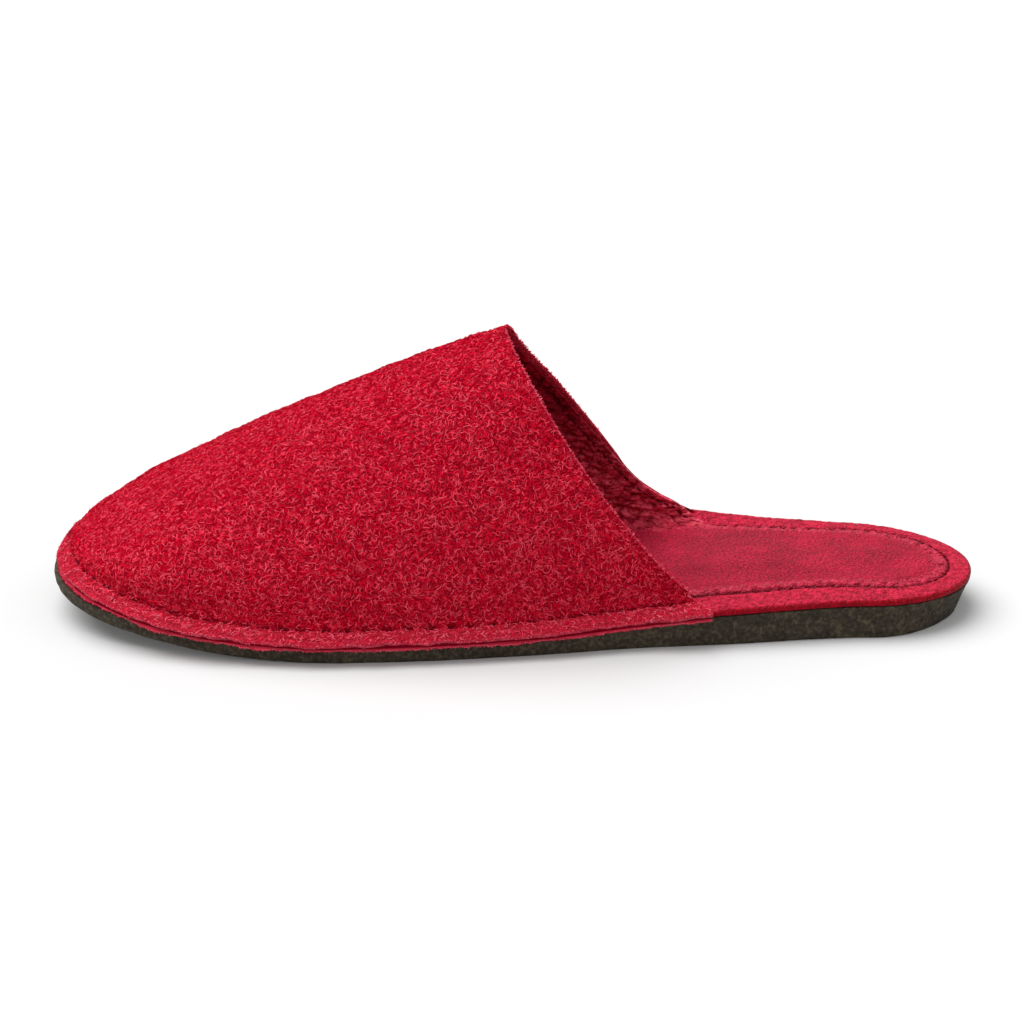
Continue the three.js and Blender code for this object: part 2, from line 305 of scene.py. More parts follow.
def quad_tris(ids, turned=False):
    a, b = ids[:-1, :-1].ravel(), ids[:-1, 1:].ravel()
    c, d = ids[1:, 1:].ravel(), ids[1:, :-1].ravel()
    if turned:
        b, d = d, b
    return np.concatenate([np.stack([a, b, c], -1), np.stack([a, c, d], -1)])


def zipped(fine, coarse, step, turned):
    """Triangles between a fine line and a coarse one that has every step-th point."""
    out = []
    for j in range(len(coarse) - 1):
        base = j * step
        half = step // 2
        for k in range(step):
            near = coarse[j] if k < half or step == 1 else coarse[j + 1]
            out.append((fine[base + k], fine[base + k + 1], near))
        out.append((coarse[j], fine[base + half] if step > 1 else fine[base + 1], coarse[j + 1]))
    t = np.array(out)
    return t[:, ::-1] if turned else t


def weld(v, tris, tol=2e-3):
    key = np.round(v / tol).astype(np.int64)
    _, first, back = np.unique(key, axis=0, return_index=True, return_inverse=True)
    back = back.ravel()
    t = back[tris]
    ok = (t[:, 0] != t[:, 1]) & (t[:, 1] != t[:, 2]) & (t[:, 0] != t[:, 2])
    return v[first], t[ok], first


def shell(face, back, step):
    """A closed skin: a fine face and a coarse back that share three edges; the first ring is folded shut."""
    rings, rows = face.shape[:2]
    ids = np.arange(rings * rows).reshape(rings, rows)
    coarse = back[::step, ::step]
    cids = np.arange(coarse.shape[0] * coarse.shape[1]).reshape(coarse.shape[:2]) + ids.size
    tris = [
        quad_tris(ids),
        quad_tris(cids, True),
        zipped(ids[:, 0], cids[:, 0], step, False),
        zipped(ids[:, -1], cids[:, -1], step, True),
        zipped(ids[-1], cids[-1], step, False),
        zipped(ids[0], cids[0], step, True),
    ]
    v = np.concatenate([face.reshape(-1, 3), coarse.reshape(-1, 3)])
    return v, np.concatenate(tris)


def to_frame(v):
    return np.stack([SHIFT_X - v[:, 0], v[:, 1] + MIDDLE_Y, v[:, 2]], -1) / 1000.0


def add_piece(name, v, tris, material, marks=None, sharp=None, is_smooth=True):
    """One mesh object from arrays in d, y, z; marks are values a vertex."""
    co = to_frame(v)
    p = co[tris]
    volume = np.einsum("ij,ij->i", p[:, 0], np.cross(p[:, 1], p[:, 2])).sum()
    if volume < 0:
        tris = tris[:, ::-1]
    me = bpy.data.meshes.new(name)
    me.vertices.add(len(co))
    me.vertices.foreach_set("co", np.ascontiguousarray(co, np.float32).ravel())
    me.loops.add(len(tris) * 3)
    me.loops.foreach_set("vertex_index", np.ascontiguousarray(tris, np.int32).ravel())
    me.polygons.add(len(tris))
    me.polygons.foreach_set("loop_start", np.arange(0, len(tris) * 3, 3, dtype=np.int32))
    me.polygons.foreach_set("use_smooth", np.full(len(tris), is_smooth, bool))
    me.update(calc_edges=True)
    for key, values in (marks or {}).items():
        me.attributes.new(key, "FLOAT", "POINT").data.foreach_set("value", np.ascontiguousarray(values, np.float32))
    if sharp is not None:
        me.set_sharp_from_angle(angle=math.radians(sharp))
    me.materials.append(material)
    ob = bpy.data.objects.new(name, me)
    bpy.context.scene.collection.objects.link(ob)
    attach(ob, "root")
    return ob


# ------------------------------------------------------------------ materials
class Nodes:
    """A short way to write node trees."""

    def __init__(self, name):
        self.material = bpy.data.materials.new(name)
        self.material.use_nodes = True
        self.tree = self.material.node_tree
        self.tree.nodes.clear()
        self.out = self.add("ShaderNodeOutputMaterial")
        self.shader = self.add("ShaderNodeBsdfPrincipled")
        self.join(self.shader, "BSDF", self.out, "Surface")
        self.coords = self.add("ShaderNodeTexCoord")

    def add(self, kind, **settings):
        n = self.tree.nodes.new(kind)
        for key, value in settings.items():
            setattr(n, key, value)
        return n

    def join(self, a, out, b, into):
        self.tree.links.new(a.outputs[out], b.inputs[into])

    def noise(self, scale, detail=3.0, rough=0.55, twist=0.0, stretch=None):
        n = self.add("ShaderNodeTexNoise")
        n.inputs["Scale"].default_value = scale
        n.inputs["Detail"].default_value = detail
        n.inputs["Roughness"].default_value = rough
        n.inputs["Distortion"].default_value = twist
        if stretch:
            m = self.add("ShaderNodeMapping")
            m.inputs["Scale"].default_value = stretch
            self.join(self.coords, "Object", m, "Vector")
            self.join(m, "Vector", n, "Vector")
        else:
            self.join(self.coords, "Object", n, "Vector")
        return n

    def cells(self, scale, feature="F1", jitter=1.0, warp=None):
        n = self.add("ShaderNodeTexVoronoi", feature=feature)
        n.inputs["Scale"].default_value = scale
        n.inputs["Randomness"].default_value = jitter
        if warp is not None:
            self.tree.links.new(warp, n.inputs["Vector"])
        else:
            self.join(self.coords, "Object", n, "Vector")
        return n

    def ramp(self, source, out, stops):
        n = self.add("ShaderNodeValToRGB")
        r = n.color_ramp
        while len(r.elements) < len(stops):
            r.elements.new(0.5)
        for e, (at, colour) in zip(r.elements, stops):
            e.position = at
            e.color = (*colour, 1.0)
        self.join(source, out, n, "Fac")
        return n

    def math(self, kind, a, b=None):
        n = self.add("ShaderNodeMath", operation=kind)
        for i, x in enumerate((a, b)):
            if x is None:
                continue
            if isinstance(x, (int, float)):
                n.inputs[i].default_value = x
            else:
                self.tree.links.new(x, n.inputs[i])
        return n.outputs[0]

    def mixed(self, fac, a, b, blend="MIX"):
        n = self.add("ShaderNodeMix", data_type="RGBA", blend_type=blend)
        for key, x in (("Factor", fac), ("A", a), ("B", b)):
            socket = [s for s in n.inputs if s.name == key and s.enabled][0]
            if isinstance(x, (int, float)):
                socket.default_value = x
            elif isinstance(x, tuple):
                socket.default_value = (*x, 1.0)
            else:
                self.tree.links.new(x, socket)
        return [s for s in n.outputs if s.enabled][0]

    def bump(self, height, strength, distance, before=None):
        n = self.add("ShaderNodeBump")
        n.inputs["Strength"].default_value = strength
        n.inputs["Distance"].default_value = distance
        self.tree.links.new(height, n.inputs["Height"])
        if before is not None:
            self.tree.links.new(before, n.inputs["Normal"])
        return n.outputs["Normal"]

    def colour(self, socket):
        self.tree.links.new(socket, self.shader.inputs["Base Color"])

    def normal(self, socket):
        self.tree.links.new(socket, self.shader.inputs["Normal"])

    def rough(self, socket):
        self.tree.links.new(socket, self.shader.inputs["Roughness"])

    def set(self, **values):
        for key, value in values.items():
            name = key.replace("_", " ")
            self.shader.inputs[name].default_value = value


def srgb(r, g, b):
    return tuple((c / 255 / 12.92) if c / 255 <= 0.04045 else ((c / 255 + 0.055) / 1.055) ** 2.4 for c in (r, g, b))


def suede_material():
    m = Nodes("suede_red")
    worm = m.noise(780, 0.5, 0.5, 1.1)
    ridge = m.math("SUBTRACT", 1.0, m.math("MINIMUM", m.math("MULTIPLY", m.math("ABSOLUTE", m.math("SUBTRACT", worm.outputs["Fac"], 0.5)), 9.0), 1.0))
    second = m.noise(1120, 0.5, 0.5, 1.4)
    ridge2 = m.math("SUBTRACT", 1.0, m.math("MINIMUM", m.math("MULTIPLY", m.math("ABSOLUTE", m.math("SUBTRACT", second.outputs["Fac"], 0.47)), 8.0), 1.0))
    ridge = m.math("MAXIMUM", ridge, m.math("MULTIPLY", ridge2, 0.8))
    patch = m.noise(90, 4.0, 0.6)
    fine = m.noise(2400, 2.0, 0.6)
    tone = m.math("ADD", m.math("MULTIPLY", patch.outputs["Fac"], 0.14), m.math("MULTIPLY", fine.outputs["Fac"], 0.3))
    # The ridges raise the tone, so the worm crests are painted lighter and the hollows between them darker: painted
    # highlight and painted shade of the relief that the bump also draws.
    tone = m.math("ADD", tone, m.math("MULTIPLY", ridge, 0.5))
    n = m.add("ShaderNodeValToRGB")
    m.tree.links.new(tone, n.inputs["Fac"])
    r = n.color_ramp
    r.elements[0].position, r.elements[0].color = 0.22, (*srgb(152, 0, 22), 1)
    r.elements[1].position, r.elements[1].color = 0.76, (*srgb(255, 78, 104), 1)
    e = r.elements.new(0.5)
    e.color = (*srgb(232, 12, 50), 1)
    cut = m.add("ShaderNodeAttribute", attribute_name="cut")
    raw = m.ramp(fine, "Fac", [(0.3, srgb(216, 34, 64)), (0.7, srgb(248, 108, 128))])
    # The 'low' mark is the flange below the seam. It is mixed toward a lighter, pinker red: partly rubbed wear, partly
    # painted highlight.
    low = m.add("ShaderNodeAttribute", attribute_name="low")
    rubbed_painted_highlight = m.ramp(fine, "Fac", [(0.3, srgb(232, 20, 56)), (0.7, srgb(252, 84, 108))])
    socket = m.mixed(m.math("MULTIPLY", low.outputs["Fac"], 0.45), n.outputs["Color"], rubbed_painted_highlight.outputs["Color"])
    m.colour(m.mixed(cut.outputs["Fac"], socket, raw.outputs["Color"]))
    height = m.math("ADD", m.math("MULTIPLY", ridge, 0.8), m.math("MULTIPLY", fine.outputs["Fac"], 0.3))
    m.normal(m.bump(height, 1.0, 0.001))
    m.set(Roughness=0.95, Specular_IOR_Level=0.0)
    return m.material


def nap_material(name, low, middle, high, sheen):
    m = Nodes(name)
    geo = m.add("ShaderNodeNewGeometry")
    patch = m.noise(110, 4.0, 0.6)
    tone = m.math("ADD", m.math("MULTIPLY", geo.outputs["Random Per Island"], 0.8), m.math("MULTIPLY", patch.outputs["Fac"], 0.2))
    n = m.add("ShaderNodeValToRGB")
    m.tree.links.new(tone, n.inputs["Fac"])
    r = n.color_ramp
    r.elements[0].position, r.elements[0].color = 0.1, (*low, 1)
    r.elements[1].position, r.elements[1].color = 0.92, (*high, 1)
    e = r.elements.new(0.5)
    e.color = (*middle, 1)
    m.colour(n.outputs["Color"])
    m.set(Roughness=0.85, Specular_IOR_Level=0.0, Sheen_Weight=sheen, Sheen_Roughness=0.4, Sheen_Tint=(*srgb(255, 90, 112), 1))
    return m.material


def leather_material(name, deep, light, grain, rough_low, rough_high, relief, zones=False):
    m = Nodes(name)
    warp = m.noise(300, 2.0, 0.5)
    add = m.add("ShaderNodeVectorMath", operation="MULTIPLY_ADD")
    m.tree.links.new(warp.outputs["Color"], add.inputs[0])
    add.inputs[1].default_value = (0.0016, 0.0016, 0.0016)
    m.join(m.coords, "Object", add, 2)
    if not zones:  # the lining's folds run along the slipper
        drawn_out = m.add("ShaderNodeVectorMath", operation="MULTIPLY")
        m.tree.links.new(add.outputs[0], drawn_out.inputs[0])
        drawn_out.inputs[1].default_value = (0.6, 1.0, 1.25)
        add.inputs[1].default_value = (0.0028, 0.0028, 0.0028)
        add = drawn_out
    cell = m.cells(grain, "SMOOTH_F1", 1.0, add.outputs[0])
    cell.inputs["Smoothness"].default_value = 0.35
    crease = m.cells(grain * 0.8, "DISTANCE_TO_EDGE", 1.0, add.outputs[0])
    open_crease = m.math("MINIMUM", m.math("MULTIPLY", crease.outputs["Distance"], 5.0), 1.0)
    fine = m.noise(grain * 2.2, 3.0, 0.6)
    patch = m.noise(70, 4.0, 0.6)
    tone = m.math("ADD", m.math("MULTIPLY", cell.outputs["Distance"], -0.35), m.math("MULTIPLY", patch.outputs["Fac"], 0.55))
    tone = m.math("ADD", tone, m.math("MULTIPLY", fine.outputs["Fac"], 0.3))
    tone = m.math("ADD", tone, m.math("MULTIPLY", open_crease, 0.2 if zones else 0.08))
    n = m.add("ShaderNodeValToRGB")
    m.tree.links.new(tone, n.inputs["Fac"])
    n.color_ramp.elements[0].position, n.color_ramp.elements[0].color = 0.2, (*deep, 1)
    n.color_ramp.elements[1].position, n.color_ramp.elements[1].color = 0.66, (*light, 1)
    socket = n.outputs["Color"]
    height = m.math("ADD", m.math("MULTIPLY", cell.outputs["Distance"], -1.0), m.math("MULTIPLY", fine.outputs["Fac"], 0.3))
    height = m.math("ADD", height, m.math("MULTIPLY", open_crease, 0.35 if zones else 0.15))
    shine = m.add("ShaderNodeMapRange")
    shine.inputs["From Min"].default_value = 0.3
    shine.inputs["From Max"].default_value = 0.7
    shine.inputs["To Min"].default_value = rough_low
    shine.inputs["To Max"].default_value = rough_high
    m.join(fine, "Fac", shine, "Value")
    if zones:
        rim = m.add("ShaderNodeAttribute", attribute_name="rim")
        band = m.add("ShaderNodeAttribute", attribute_name="band")
        sewn = m.add("ShaderNodeAttribute", attribute_name="sewn")
        speck = m.noise(620, 3.0, 0.65)
        rim_colour = m.ramp(speck, "Fac", [(0.36, srgb(148, 6, 38)), (0.62, srgb(208, 32, 66))])
        # Along the seam (the 'sewn' mark) the puckers are painted lighter and pinker: painted highlight, besides their
        # real lower roughness and higher specular.
        painted_pucker_highlight = m.ramp(speck, "Fac", [(0.35, srgb(150, 2, 36)), (0.65, srgb(232, 52, 88))])
        socket = m.mixed(m.math("MULTIPLY", sewn.outputs["Fac"], 0.6), socket, painted_pucker_highlight.outputs["Color"])
        socket = m.mixed(rim.outputs["Fac"], socket, rim_colour.outputs["Color"])
        band_colour = m.ramp(speck, "Fac", [(0.3, srgb(126, 0, 16)), (0.7, srgb(176, 0, 32))])
        socket = m.mixed(band.outputs["Fac"], socket, band_colour.outputs["Color"])
        # Along the seam's groove (the 'fold' mark) the insole is painted dark red: painted shade.
        fold = m.add("ShaderNodeAttribute", attribute_name="fold")
        painted_groove_shade = m.ramp(speck, "Fac", [(0.3, srgb(62, 0, 10)), (0.7, srgb(104, 0, 22))])
        socket = m.mixed(m.math("MULTIPLY", fold.outputs["Fac"], 0.85), socket, painted_groove_shade.outputs["Color"])
        height = m.math("ADD", height, m.math("MULTIPLY", m.math("MULTIPLY", speck.outputs["Fac"], rim.outputs["Fac"]), 1.5))
        m.rough(m.math("SUBTRACT", shine.outputs["Result"], m.math("MULTIPLY", sewn.outputs["Fac"], 0.22)))
        gloss = m.math("ADD", m.math("MULTIPLY", sewn.outputs["Fac"], 0.1), 0.1)
        m.tree.links.new(gloss, m.shader.inputs["Specular IOR Level"])
    else:
        low = m.add("ShaderNodeAttribute", attribute_name="low")
        pebble = m.math("ADD", m.math("MULTIPLY", open_crease, 0.22), m.math("MULTIPLY", fine.outputs["Fac"], 0.6))
        pebble = m.math("SUBTRACT", pebble, m.math("MULTIPLY", cell.outputs["Distance"], 0.25))
        # In the lining's lower part (the 'low' mark) the pebbles take a lighter, pinker colour: painted light and
        # painted highlight where light comes in at the opening.
        lit = m.add("ShaderNodeValToRGB")
        m.tree.links.new(pebble, lit.inputs["Fac"])
        lit.color_ramp.elements[0].position, lit.color_ramp.elements[0].color = 0.12, (*srgb(158, 0, 28), 1)
        lit.color_ramp.elements[1].position, lit.color_ramp.elements[1].color = 0.42, (*srgb(255, 66, 100), 1)
        socket = m.mixed(m.math("MULTIPLY", low.outputs["Fac"], 0.9), socket, lit.outputs["Color"])
        m.rough(m.math("SUBTRACT", shine.outputs["Result"], m.math("MULTIPLY", low.outputs["Fac"], 0.26)))
        gloss = m.math("ADD", m.math("MULTIPLY", m.math("MULTIPLY", low.outputs["Fac"], pebble), 0.95), 0.03)
        m.tree.links.new(gloss, m.shader.inputs["Specular IOR Level"])
    m.colour(socket)
    m.normal(m.bump(height, relief, 0.0008 if zones else 0.0015))
    return m.material


def rubber_material():
    m = Nodes("rubber_brown")
    speck = m.noise(900, 2.0, 0.6)
    coarse = m.noise(330, 3.0, 0.6)
    patch = m.noise(60, 4.0, 0.6)
    tone = m.math("ADD", m.math("MULTIPLY", speck.outputs["Fac"], 0.55), m.math("MULTIPLY", coarse.outputs["Fac"], 0.3))
    tone = m.math("ADD", tone, m.math("MULTIPLY", patch.outputs["Fac"], 0.2))
    n = m.add("ShaderNodeValToRGB")
    m.tree.links.new(tone, n.inputs["Fac"])
    r = n.color_ramp
    r.elements[0].position, r.elements[0].color = 0.4, (*srgb(38, 33, 25), 1)
    r.elements[1].position, r.elements[1].color = 0.66, (*srgb(84, 76, 60), 1)
    e = r.elements.new(0.53)
    e.color = (*srgb(58, 50, 40), 1)
    m.colour(n.outputs["Color"])
    m.normal(m.bump(m.math("ADD", speck.outputs["Fac"], coarse.outputs["Fac"]), 0.5, 0.0005))
    m.set(Roughness=0.88, Specular_IOR_Level=0.25)
    return m.material


def thread_material(name, low, high):
    m = Nodes(name)
    twist = m.noise(2400, 2.0, 0.6)
    m.colour(m.ramp(twist, "Fac", [(0.3, low), (0.72, high)]).outputs["Color"])
    m.normal(m.bump(twist.outputs["Fac"], 0.5, 0.0002))
    m.set(Roughness=0.8, Specular_IOR_Level=0.05)
    return m.material


SUEDE = suede_material()
NAP = nap_material("suede_nap", srgb(200, 0, 34), srgb(236, 18, 54), srgb(255, 92, 114), 0.02)
# The flange's fibres are lighter and pinker than the rest of the nap: partly rubbed wear, partly painted highlight.
FLANGE_NAP = nap_material("suede_nap_rubbed_painted_highlight", srgb(214, 14, 48), srgb(246, 50, 80), srgb(255, 118, 140), 0.03)
FUZZ = nap_material("suede_cut_fibres", srgb(204, 18, 50), srgb(230, 58, 86), srgb(246, 122, 140), 0.03)
LIP = nap_material("lining_edge", srgb(206, 36, 64), srgb(232, 78, 102), srgb(250, 140, 156), 0.03)
# Dark red for a strip in the gap under the flange's edge: painted shade.
PAINTED_GAP_SHADE = nap_material("flange_painted_gap_shade", srgb(66, 0, 8), srgb(96, 0, 16), srgb(124, 6, 28), 0.0)
LINING = leather_material("lining_leather", srgb(96, 0, 14), srgb(190, 6, 42), 470, 0.5, 0.66, 1.0)
PAD = leather_material("insole_leather", srgb(132, 3, 34), srgb(205, 21, 61), 1000, 0.5, 0.7, 0.8, True)
RUBBER = rubber_material()
DARK_THREAD = thread_material("seam_thread", srgb(64, 0, 8), srgb(118, 4, 24))
RED_THREAD = thread_material("insole_thread", srgb(60, 0, 8), srgb(108, 2, 22))

# ------------------------------------------------------------------ upper: suede layer and lining
STEP = 4
ROWS = np.linspace(0, 3, 21)
ANGLES = np.radians(np.linspace(0, 90, 76)[1:-1])
t = np.linspace(0, 1, 209)
F = np.arccos(1 - t**1.45) * 2 / np.pi
F[0] = 0.0
OUTER = upper_face(F, False, ROWS, ANGLES)
INNER = upper_face(F, True, ROWS, ANGLES)
RINGS, ACROSS = OUTER.shape[:2]
MID = ACROSS // 2
NORMAL = grid_normals(OUTER)

# Distance across from the flange's seam, on each side: under zero on the flange, over zero up the wall.
seam_col = int(np.argmin(abs(ROWS - 2)))
across = path_lengths(OUTER, 1)
from_seam = np.empty((RINGS, ACROSS))
from_seam[:, : MID + 1] = across[:, : MID + 1] - across[:, [seam_col]]
from_seam[:, MID:] = across[:, [ACROSS - 1 - seam_col]] - across[:, MID:]
seam_way = np.empty((RINGS, ACROSS))
seam_way[:, : MID + 1] = path_lengths(OUTER[:, seam_col])[:, None]
seam_way[:, MID:] = path_lengths(OUTER[:, ACROSS - 1 - seam_col])[:, None]

STITCH = 6.0
phase = seam_way / STITCH
slot_open = smooth(0.5 + 2.2 * (np.cos(2 * np.pi * phase) + 0.2))
lift = -(0.15 + 0.6 * slot_open) * np.exp(-((from_seam / 0.7) ** 2))
lift += 0.16 * np.exp(-(((from_seam + 2.2) / 1.5) ** 2)) * (0.75 + 0.25 * np.cos(2 * np.pi * phase))
lift += 0.10 * np.exp(-(((from_seam - 1.9) / 1.3) ** 2)) * (0.7 + 0.3 * np.cos(2 * np.pi * phase + 0.8))
tame = smooth((from_seam + 1.0) / 8.0)
lift += 0.28 * ripple(OUTER, (46, 27), 5) * tame
lift += 0.10 * ripple(OUTER, (9, 6), 6)
# Soft creases of wear: where across the vamp (d at the ridge), how far along per side, depth, width.
CREASES = [
    ("lateral", 196.0, 0.22, 0.55, 0.5, 6.0),
    ("lateral", 176.0, 0.15, 0.45, 0.45, 7.0),
    ("medial", 190.0, 0.2, 0.6, 0.5, 7.0),
    ("lateral", 150.0, 0.1, 0.32, 0.5, 9.0),
]
height_share = np.clip(from_seam / np.maximum(from_seam[:, [MID]], 1e-3), 0, 1)
for side, at, low, high, depth, wide in CREASES:
    on = np.arange(ACROSS)[None, :] <= MID if side == "lateral" else np.arange(ACROSS)[None, :] >= MID
    bow = at - 16 * (height_share - low)
    window = smooth((height_share - low + 0.12) / 0.2) * smooth((high + 0.12 - height_share) / 0.2)
    lift -= on * window * depth * np.exp(-(((OUTER[..., 0] - bow) / wide) ** 2))
# The flange's free edge waves a little, and lifts at its ends.
edge_on = smooth(-from_seam / 4.0)
lift += edge_on * smooth(F[:, None] / 0.05) * 0.18 * ripple(np.stack([seam_way, np.where(np.arange(ACROSS) < MID, 0, 400.0) + 0 * seam_way, 0 * seam_way], -1), (21, 11), 9)
ends = smooth((F[:, None] - 0.985) / 0.015) * (np.arange(ACROSS) < MID)
lift += edge_on * ends * 0.4
# Both halves meet in the first ring.
lift[0] = 0.5 * (lift[1] + lift[1, ::-1])
NAP_DEPTH = 0.15
# At the toe the flange stops a little short of the sole's edge.
inward = np.zeros_like(OUTER)
inward[:, :MID] = unit(OUTER[:, 2] - OUTER[:, 0])[:, None]
inward[:, MID:] = unit(OUTER[:, -3] - OUTER[:, -1])[:, None]
inward = inward * (1.05 * (1 - smooth((F[:, None] - 0.14) / 0.34)) * smooth(-from_seam / 4.5))[..., None]
OUTER, INNER = OUTER + inward, INNER + inward
FACE = OUTER + NORMAL * (lift - NAP_DEPTH)[..., None]
BACK = mix(OUTER, INNER, 0.48)
# The flange's cut edge is a little ragged.
near_edge = np.zeros(ACROSS)
near_edge[:5] = near_edge[::-1][:5] = (1.0, 0.8, 0.5, 0.25, 0.1)
line_at = np.stack([seam_way, np.where(np.arange(ACROSS) < MID, 0, 400.0) + 0 * seam_way, 0 * seam_way], -1)
ragged = 0.2 * ripple(line_at, (17, 8), 14) + 0.14 * ripple(line_at, (3.6, 2.4), 15)
out_way = np.zeros_like(OUTER)
out_way[:, :MID] = unit(OUTER[:, 0] - OUTER[:, 2])[:, None]
out_way[:, MID:] = unit(OUTER[:, -1] - OUTER[:, -3])[:, None]
ragged = (ragged - 0.1) * near_edge[None, :] * smooth(F[:, None] / 0.05)
FACE = FACE + ragged[..., None] * out_way
BACK = BACK + ragged[..., None] * out_way
lip_way = ((0.12 + 0.2 * ripple(line_at, (13, 6), 16) + 0.12 * ripple(line_at, (3.1, 2.2), 17)) * near_edge[None, :] * smooth(F[:, None] / 0.05))[..., None] * out_way
# Inner side, low end: the suede's edge draws back behind the lining's.
drawn = smooth((np.arange(RINGS) - (RINGS - 16)) / 15.0)[:, None]
drawn_by = 1.1 * smooth((0.4 - height_share[-1]) / 0.15) + 3.0 * smooth((0.16 - height_share[-1]) / 0.14)
drawn = drawn * ((np.arange(ACROSS) >= MID) * drawn_by)[None, :]
toward = unit(OUTER[-1] - OUTER[-6])[None]
FACE = FACE - drawn[..., None] * toward
BACK = BACK - drawn[..., None] * toward


def layer(face, back, bulge, normal_out):
    """Adds rounded cut edges to a face: two more rows at both flange edges and two more rings at the collar."""

    def cols(a):
        e0 = np.concatenate([a[:, :1]] * 2 + [a] + [a[:, -1:]] * 2, 1)
        return np.concatenate([e0, e0[-1:], e0[-1:]], 0)

    f, b = cols(face), cols(back)
    share = np.zeros(f.shape[:2])
    share[:, 0] = share[:, -1] = share[-1, :] = 1.0
    share[:, 1] = np.maximum(share[:, 1], 0.5)
    share[:, -2] = np.maximum(share[:, -2], 0.5)
    share[-2, :] = np.maximum(share[-2, :], 0.5)
    out = mix(f, b, share[..., None])
    push = np.sin(np.pi * share)[..., None] * bulge
    return out + push * cols(normal_out), b, share


def evened(a):
    """Repeats the last ring and row until the coarse back fits in whole steps."""
    a = np.concatenate([a] + [a[-1:]] * ((-(a.shape[0] - 1)) % STEP), 0)
    return np.concatenate([a] + [a[:, -1:]] * ((-(a.shape[1] - 1)) % STEP), 1)


# low becomes the 'low' mark, which the suede and lining materials paint lighter: painted highlight, and on the suede's
# flange partly rubbed wear too.
def layer_piece(name, face, back, bulge, edge_out, material, low=None):
    low = np.zeros(face.shape[:2]) if low is None else low
    face, back, share = layer(face, back, bulge, edge_out)
    low = np.pad(low, ((0, 2), (2, 2)), mode="edge")
    low = evened(low)
    face, back, share = evened(face), evened(back), evened(share)
    v, tris = shell(face, back, STEP)
    pale = np.minimum(1, 2 * share)
    pale[:, share.shape[1] // 2 :] *= 0.25
    cut = np.concatenate([pale.ravel(), pale[::STEP, ::STEP].ravel()])
    low = np.concatenate([low.ravel(), low[::STEP, ::STEP].ravel()])
    v, tris, kept = weld(v, tris)
    return add_piece(name, v, tris, material, {"cut": cut[kept], "low": low[kept]}, sharp=60)


edge_out = np.zeros_like(OUTER)
edge_out[:, 0] = unit(OUTER[:, 0] - OUTER[:, 2])
edge_out[:, -1] = unit(OUTER[:, -1] - OUTER[:, -3])
edge_out[-1, :] = unit(OUTER[-1] - OUTER[-4])
# The suede's 'low' mark is the flange, painted lighter: partly rubbed wear, partly painted highlight.
upper = layer_piece("upper_suede", FACE, BACK, 0.16, edge_out, SUEDE, smooth(-from_seam / 1.5))
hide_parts("upper")


def strip_piece(name, top, bottom, material):
    """A thin closed strip between two grids of the same size."""
    ids = np.arange(top.shape[0] * top.shape[1]).reshape(top.shape[:2])
    low = ids + ids.size
    rim = [(ids[:, 0], low[:, 0]), (ids[:, -1], low[:, -1]), (ids[0], low[0]), (ids[-1], low[-1])]
    tris = [quad_tris(ids), quad_tris(low, True)]
    for k, (a, b) in enumerate(rim):
        tris.append(quad_tris(np.stack([a, b], 0), k in (0, 3)))
    v, t, _ = weld(np.concatenate([top.reshape(-1, 3), bottom.reshape(-1, 3)]), np.concatenate(tris))
    return add_piece(name, v, t, material, sharp=50)


# The lining's own edge shows as a thin lip under the suede flange.
LIP_ROWS = 16
for key, cut_rows in (("lip_outer", slice(0, LIP_ROWS)), ("lip_inner", slice(ACROSS - LIP_ROWS, ACROSS))):
    short = slice(0, RINGS if key == "lip_outer" else RINGS - 1)
    back_off = drawn[..., None] * toward
    under_lip = mix(OUTER, INNER, 1.04 + 0.1 * smooth((F - 0.9) / 0.1)[:, None, None])
    strip_piece("flange_" + key, (mix(OUTER, INNER, 0.9) + lip_way - back_off)[short, cut_rows], (under_lip + lip_way - back_off)[short, cut_rows], LIP)
    # A dark strip set back between the suede's edge and the lining's lip: painted shade of the gap.
    gap_shade_way = -0.42 * near_edge[None, :, None] * out_way - back_off
    strip_piece("flange_painted_gap_shade_" + key[4:], (mix(OUTER, INNER, 0.46) + gap_shade_way)[short, cut_rows], (mix(OUTER, INNER, 0.94) + gap_shade_way)[short, cut_rows], PAINTED_GAP_SHADE)

# Lining: up the wall from a soft fillet on the insole. Near the collar it is turned in flat and sewn.
FILLET = 6.5
LINING_ANGLES = np.radians(np.linspace(0, 90, 108)[1:-1])
SKIRT = [(3.2, -0.9), (1.6, -0.3), (0.5, 0.0), (0.0, 0.0)]
SKIRT_UP = [0.03, 0.1, 0.25, 0.45]


